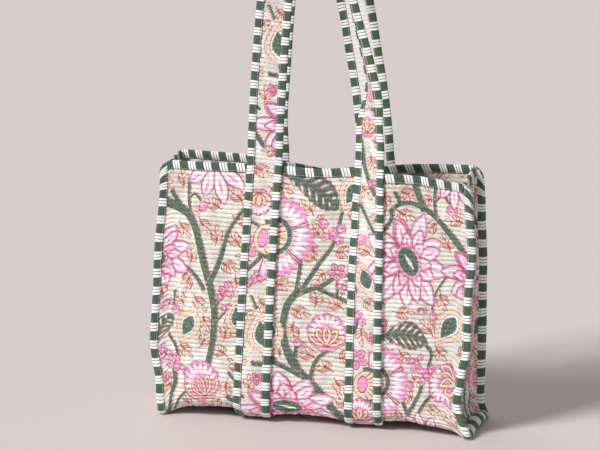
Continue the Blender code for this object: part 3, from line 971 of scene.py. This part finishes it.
def body_pieces(cotton, inside):
    """The outer and inner faces of the long body panel."""

    def quilted(x, s):
        under_seam = rise(np.abs(x), GUSSET_X - 0.002, GUSSET_X + 0.001)
        under_rim = rise(np.minimum(s, FULL_RUN - s), 0.010, 0.007)
        return quilt_relief(x, s, 101) * (1 - np.maximum(under_seam, under_rim)) - HAIR

    def lined(x, s):
        return HAIR * waves(x, s, 0.012, 50) - PANEL

    nodes = ("body_print", "body_wadding")
    outer = body_cloth("body_panel", 5, (FINE, WEFT), quilted, HAIR, cotton, -0.005, *nodes)
    inner = body_cloth("body_lining_panel", 3, LINING_PITCHES, lined, -HAIR, inside, 0.07, "body_lining")
    return outer, inner


def gusset_cloth(name, side, pitches, plate_x, out, relief, behind, material, a, b, *nodes):
    """One face of a gusset, from the top down. Its two edges turn out to meet the body panel's."""
    step = 3
    z = np.linspace(PANEL_TOP, BASE_LEVEL - out, steps_over(BAG_HEIGHT, pitches[0], step) + 1)
    wall_y, wall_z, _, _ = outline(np.linspace(0, HALF_RUN, 400), BASE_CORNER)
    order = np.argsort(wall_z)
    half = np.maximum(-np.interp(z, wall_z[order], wall_y[order]) + out, 0.02)
    share, z = np.meshgrid(np.linspace(-1, 1, steps_over(BASE_DEPTH, pitches[1], step) + 1), z)
    y = half[:, None] * share
    flare = rise(np.abs(share), 0.93, 1) * 0.004
    shown = np.stack([side * (plate_x + relief(y, z) + flare), y, z], -1)
    hidden = np.stack([side * (GUSSET_X - OUTER_HALF + behind + flare), y, z], -1)[::step, ::step]
    return bag_cloth(name, shown, hidden, step, material, a * side + y, b - z, *nodes)


def gusset_pieces(cotton, inside):
    """The outer and inner faces of the two gussets."""

    def quilted(y, z):
        return quilt_relief(y, z, 201)

    def lined(y, z):
        return HAIR * waves(y, z, 0.012, 60)

    made = []
    for word, side in (("left", -1), ("right", 1)):
        node = f"gusset_{word}"
        outer = (FINE, 0.0016), GUSSET_X, -2 * PANEL - GAP, quilted, HAIR, cotton, 0.145, 0.34
        made.append(gusset_cloth(f"{node}_panel", side, *outer, f"{node}_print", f"{node}_wadding"))
        inner = LINING_PITCHES, GUSSET_X - PANEL, -PANEL - 2 * GAP, lined, -HAIR, inside, 0.11, 0.4
        made.append(gusset_cloth(f"{node}_lining_panel", side, *inner, f"{node}_lining"))
    return made


def tape_section(width, low, high):
    """A tape folded over an edge, as a U: (place across, place through, distance from its open edge, puff).

    The open edge is at 0 across, and the fold reaches width. low and high are the outer faces of its walls,
    and puff is 1 where a wall may swell out most.
    """
    middle, half = (low + high) / 2, (high - low) / 2
    bend = min(half, 0.0030)
    fold = width - bend
    wall = [(across, math.sin(math.pi * across / width)) for across in np.linspace(0, fold, 7)]
    section = [(across, high - HAIR, across, puff) for across, puff in wall]
    for angle in np.linspace(math.pi / 2, -math.pi / 2, 9)[1:-1]:
        distance = fold + bend * (math.pi / 2 - abs(angle))
        section.append((fold + bend * math.cos(angle), middle + half * math.sin(angle), distance, 0.0))
    section += [(across, low + HAIR, across, -puff) for across, puff in reversed(wall)]
    inside = ((0, low + TAPE, 0), (fold, low + TAPE, width), (width - TAPE, middle, width))
    inside += ((fold, high - TAPE, width), (0, high - TAPE, 0))
    return section + [(*place, 0.0) for place in inside]


def swept(name, rings, section, run, slant, tape, phase):
    """A closed tube of equal rings with capped ends, and the numbers that its stripes read."""
    index = numbered(rings)
    faces = quads(np.column_stack([index, index[:, 0]]))
    faces += [index[0].tolist()[::-1], index[-1].tolist()]
    obj = closed_piece(name, rings, faces, tape)
    give(obj, "run", np.repeat(run + phase, index.shape[1]))
    give(obj, "edge", np.tile([place[2] for place in section], index.shape[0]))
    give(obj, "slant", [], slant)
    return obj


def bag_tape(name, rings, section, run, slant, tape, phase, node):
    """A tape of the bag's own body."""
    obj = swept(name, settle(np.stack(rings, 1)), section, run, slant, tape, phase)
    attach(obj, "bag")
    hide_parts(node)
    return obj


def seam_bindings(tape):
    """The tapes that bind the outward seams between the gussets and the body panel."""
    section = tape_section(SEAM_BINDING, -2 * PANEL - 2 * GAP - TAPE, GAP + TAPE)
    corner = sum(breaks(BASE_CORNER)[1:3]) / 2
    end = FULL_RUN - corner
    runs = (("front", 0.0, corner - 0.0004), ("base", corner, end), ("back", end + 0.0004, FULL_RUN))
    made = []
    for word, side in (("left", -1), ("right", 1)):
        for part, first, last in runs:
            s = np.linspace(first, last, max(12, round((last - first) / 0.002)))
            swell = TAPE_PUFF * (1 + 0.5 * waves(s, 0 * s, 0.03, 70 + side))
            places = [(side * (GUSSET_X + across), out + puff * swell) for across, out, _, puff in section]
            rings = [body_point(x, s, out) for x, out in places]
            phase, node = 0.007 * (side + 2), f"seam_binding_{part}_{word}"
            made.append(bag_tape(f"seam_tape_{part}_{word}", rings, section, s, 0.0, tape, phase, node))
    return made


def rim_bindings(tape):
    """The tapes folded over the rim of the front, the back and the two gussets."""
    made = []
    section = tape_section(SEAM_BINDING, -PANEL - GAP - TAPE, GAP + TAPE)
    reach = GUSSET_X - GAP
    x = np.linspace(-reach, reach, 220)
    from_strap = np.abs(np.abs(x) - STRAP_SPREAD / 2) - STRAP_WIDTH / 2
    swell = TAPE_PUFF * rise(from_strap, -0.0018, 0.0042) * (1 + 0.4 * waves(x, 0 * x, 0.03, 75))
    for word, phase in (("front", 0.004), ("back", 0.013)):
        rings = []
        for across, out, _, puff in section:
            s = SEAM_BINDING - across
            drawn = x * (GUSSET_X - PANEL - GAP) / reach if out < 0 else x
            rings.append(body_point(drawn, s if word == "front" else FULL_RUN - s, out + puff * swell))
        made.append(bag_tape(f"rim_tape_{word}", rings, section, x, 0.25, tape, phase, f"rim_binding_{word}"))
    reach = RIM_DEPTH / 2 - 2 * PANEL - TAPE - 4 * GAP
    y = np.linspace(-reach, reach, 50)
    for word, side in (("left", -1), ("right", 1)):
        rings = []
        for across, out, _, puff in section:
            x = side * (GUSSET_X + out + 0.5 * puff * TAPE_PUFF)
            rings.append(np.stack([0 * y + x, y, 0 * y + BAG_HEIGHT - SEAM_BINDING + across], -1))
        made.append(bag_tape(f"rim_tape_{word}", rings, section, y, 0.1, tape, 0.009, f"rim_binding_{word}"))
    return made


def walked(line):
    """How far along a line each of its points is."""
    return np.concatenate([[0], np.cumsum(np.linalg.norm(np.diff(line, axis=0), axis=1))])


def handle_frames(side, left_turn, right_turn):
    """Centres, directions across and directions faced along a handle, as in part.py but closer together."""
    shoulder = HANDLE_RISE - ARCH_RISE
    height = np.linspace(0.0012, shoulder, round(shoulder / FINE) + 1)[:-1]
    angle = np.linspace(0, math.pi, round(2.6 * ARCH_RISE / FINE) + 1)

    def at(place, up):
        pull = (up / shoulder) ** PULL_CURVE
        return np.stack([place * (STRAP_SPREAD / 2 - LEG_DRAW_IN * pull) - LEG_LEAN * pull, up], -1)

    over = at(-np.cos(angle), shoulder + ARCH_RISE * np.sin(angle))
    line = np.concatenate([at(-1, height), over, at(1, height)[::-1]])
    foot = half_depth_at(BAG_HEIGHT) + STRAP_MIDDLE
    lean = math.asin((foot - STRAP_WIDTH / 2 - HANDLE_TOP_GAP / 2) / HANDLE_RISE)
    right = np.array([1.0, 0, 0])
    rise_way = np.array([0, -side * math.sin(lean), math.cos(lean)])
    outward_way = np.array([0, side * math.cos(lean), math.sin(lean)])
    step = np.gradient(line, axis=0)
    step /= np.hypot(*step.T)[:, None]
    step[0], step[-1] = (0, 1), (0, -1)
    inward = right * step[:, 1:] - rise_way * step[:, :1]
    share = walked(line) / walked(line)[-1]
    way_up = 2 * np.minimum(share, 1 - share)
    turn = np.radians(np.where(share < 0.5, eased(way_up, left_turn), eased(way_up, right_turn)))
    cos, sin = np.cos(turn)[:, None], np.sin(turn)[:, None]
    centre = np.array([0, side * foot, BAG_HEIGHT]) + right * line[:, :1] + rise_way * line[:, 1:]
    return centre, inward * cos - outward_way * sin, outward_way * cos + inward * sin


def strap_frames(front, left_turn, right_turn):
    """The frames of a whole strap: up a panel from the base's middle, over as a handle, and down again."""
    s = np.linspace(HALF_RUN - 0.0003, 0.0, round(HALF_RUN / FINE))
    y, z, normal_y, normal_z = outline(s if front else FULL_RUN - s, BASE_CORNER)
    facing = np.stack([0 * y, normal_y, normal_z], -1)
    legs = []
    for side in (-1, 1):
        centre = np.stack([0 * y + side * STRAP_SPREAD / 2, y, z], -1) + facing * STRAP_MIDDLE
        legs.append((centre, np.tile([-side, 0.0, 0.0], (len(s), 1)), facing))
    handle = handle_frames(-1 if front else 1, left_turn, right_turn)
    down = [part[::-1] for part in legs[1]]
    return [np.concatenate(parts) for parts in zip(legs[0], handle, down)]


def fold_back(centre):
    """How far the outer edge of the front handle's right leg is folded back along it, in radians."""
    right_leg = np.arange(len(centre)) > len(centre) // 2
    return np.radians(eased(np.maximum(centre[:, 2] - BAG_HEIGHT, 0.0), FRONT_RIGHT_CURL)) * right_leg


def curled(place, out, curl):
    """Bends the outer edge of a strap back by an angle, along the line where its tape begins."""
    beyond = np.minimum(place + STRAP_WIDTH / 2 - STRAP_BINDING, 0.0)
    curl = np.where(beyond < 0, curl, 0.0)
    cos, sin = np.cos(curl), np.sin(curl)
    return place - beyond + beyond * cos - out * sin, beyond * sin + out * cos


def strap_pieces(word, left_turn, right_turn, cotton, white, tape):
    """One strap: its printed cloth, its white lining, the tape along each edge, and how long it is."""
    front = word == "front"
    centre, across_way, facing = (part[:, None] for part in strap_frames(front, left_turn, right_turn))
    run = walked(centre[:, 0])
    curl = fold_back(centre[:, 0])[:, None] * front
    step = 2
    rows = (len(run) - 1) // step * step + 1
    half = STRAP_WIDTH / 2 - TAPE - GAP
    places, runs = np.meshgrid(np.linspace(-half, half, steps_over(2 * half, WEFT, step) + 1), run[:rows])
    tape_edge = STRAP_WIDTH / 2 - STRAP_BINDING
    under_tape = rise(np.abs(places), tape_edge, tape_edge + 0.002)
    relief = 0.6 * quilt_relief(places, runs, 301 + front) * (1 - under_tape)
    face = STRAP_CLOTH / 2 - HAIR

    def laid(place, out):
        """Points at a place across the strap and out from its middle, where it hangs."""
        place, out = curled(place, out, curl[: len(place)])
        n = len(place)
        return settle(centre[:n] + across_way[:n] * place[..., None] + facing[:n] * out[..., None])

    def cloth(name, shown, behind, material):
        hidden = laid(places, STRAP_CLOTH / 2 - STRAP_PRINT_HALF + behind + 0 * places)[::step, ::step]
        return two_faced(f"strap_{word}_{name}", laid(places, shown), hidden, step, material)

    printed = cloth("cloth", face + relief, HAIR, cotton)
    going_up = runs < run[-1] / 2
    a = np.where(going_up, places - STRAP_SPREAD / 2, STRAP_SPREAD / 2 - places)
    print_on(printed, a if front else a + 0.16, HALF_RUN - np.minimum(runs, run[-1] - runs))
    lining = cloth("lining", 0.5 * relief - face, -HAIR, white)
    give(lining, "across", places)
    give(lining, "along", runs)
    made = [(printed, ["print", "wadding"]), (lining, ["lining"])]
    section = tape_section(STRAP_BINDING, -STRAP_THICKNESS / 2, STRAP_THICKNESS / 2)
    across, out, _, puff = np.array(section).T
    out = out + puff * np.where(puff > 0, TAPE_PUFF, HAIR)
    for edge_word, sign in (("inner", 1), ("outer", -1)):
        place = sign * (tape_edge + across) + 0 * run[:, None]
        rings = laid(place, out + 0 * place)
        obj = swept(f"strap_{word}_{edge_word}_tape", rings, section, run, 0.0, tape, 0.005 * sign)
        made.append((obj, [f"{edge_word}_binding"]))
    hinge_y = -HINGE_Y if front else HINGE_Y
    start, end = (0, hinge_y, HINGE_HEIGHT + 0.0004), (0, hinge_y, HINGE_HEIGHT + 0.022)
    for obj, layers in made:
        parts = (f"handle_{word}", f"strap_{word}_left", f"strap_{word}_right")
        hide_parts(*[f"{part}_{layer}" for part in parts for layer in layers])
        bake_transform(obj)
        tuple(start)
        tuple(end)
    return [obj for obj, _ in made], float(run[-1])


# The room


def floor():
    """A pale floor, wide enough to fill every view of the bag from above it."""
    half = FLOOR_WIDTH / 2
    points = half * np.array([(-1, -1, 0), (1, -1, 0), (1, 1, 0), (-1, 1, 0)]) - (0, 0, 0.0015)
    n = Nodes("pale_floor")
    pale = linear(214, 204, 203)
    spots = n.mix(n.noise(3.0, 2.0), pale, tuple(0.985 * c for c in pale[:3]) + (1.0,))
    paper = n.finish(Base_Color=spots, Roughness=0.95, Normal=n.bump(n.noise(90.0), 0.0002, 0.15))
    link("floor", mesh("floor", points, [(0, 1, 2, 3)], paper))


def lamp(name, direction, softness, power):
    """A far, even light that shines along a direction, and is softness degrees wide."""
    data = bpy.data.lights.new(name, "SUN")
    data.energy = power
    data.angle = math.radians(softness)
    link(name, data).rotation_euler = Vector(direction).to_track_quat("-Z", "Y").to_euler()


def studio():
    """A soft key light from the front left, with weak ones from the front right and the back."""
    bpy.context.scene.view_settings.view_transform = "Standard"
    world = bpy.data.worlds.new("room")
    bpy.context.scene.world = world
    world.use_nodes = True
    background = world.node_tree.nodes["Background"]
    background.inputs[0].default_value = (0.95, 0.95, 0.97, 1.0)
    background.inputs[1].default_value = 0.32
    lamp("key", (1.5, 1.8, -1.9), 17, 3.0)
    lamp("fill", (-1.6, 2.4, -0.7), 40, 0.22)
    lamp("back", (1.2, -1.6, -1.4), 40, 0.45)


FLOOR_WIDTH = 40.0
AIM = Vector((-0.0155, -0.0635, 0.281))
CAMERA_AZIMUTH = math.radians(12.5)
CAMERA_HEIGHT = math.radians(11.0)
CAMERA_ROLL = math.radians(1.2)
CAMERA_DISTANCE = 4.0
LENS = 175.8


def camera():
    data = bpy.data.cameras.new("camera")
    data.lens = LENS
    data.sensor_width = 36
    obj = link("camera", data)
    level = math.cos(CAMERA_HEIGHT)
    way = (level * math.sin(CAMERA_AZIMUTH), -level * math.cos(CAMERA_AZIMUTH), math.sin(CAMERA_HEIGHT))
    way = Vector(way)
    look = (-way).to_track_quat("-Z", "Y").to_matrix().to_4x4()
    place = Matrix.Translation(AIM + CAMERA_DISTANCE * way)
    obj.matrix_world = place @ look @ Matrix.Rotation(CAMERA_ROLL, 4, "Z")
    bpy.context.scene.camera = obj


def main():
    cotton = printed_cotton("quilted_floral_cotton", 1.0)
    inside = printed_cotton("inside_floral_cotton", 0.8)
    white = plain_cotton("white_strap_cotton")
    tape = striped_tape("striped_binding_tape")
    body, body_lining = body_pieces(cotton, inside)
    gussets = gusset_pieces(cotton, inside)
    rims = rim_bindings(tape)
    seams = seam_bindings(tape)
    for word, turns in (("front", (LATE_TURN_IN, EARLY_TURN_IN)), ("back", (LATE_TURN_OUT, LATE_TURN_OUT))):
        (cloth, lining, inner, outer), length = strap_pieces(word, *turns, cotton, white, tape)
    floor()
    studio()
    camera()


main()
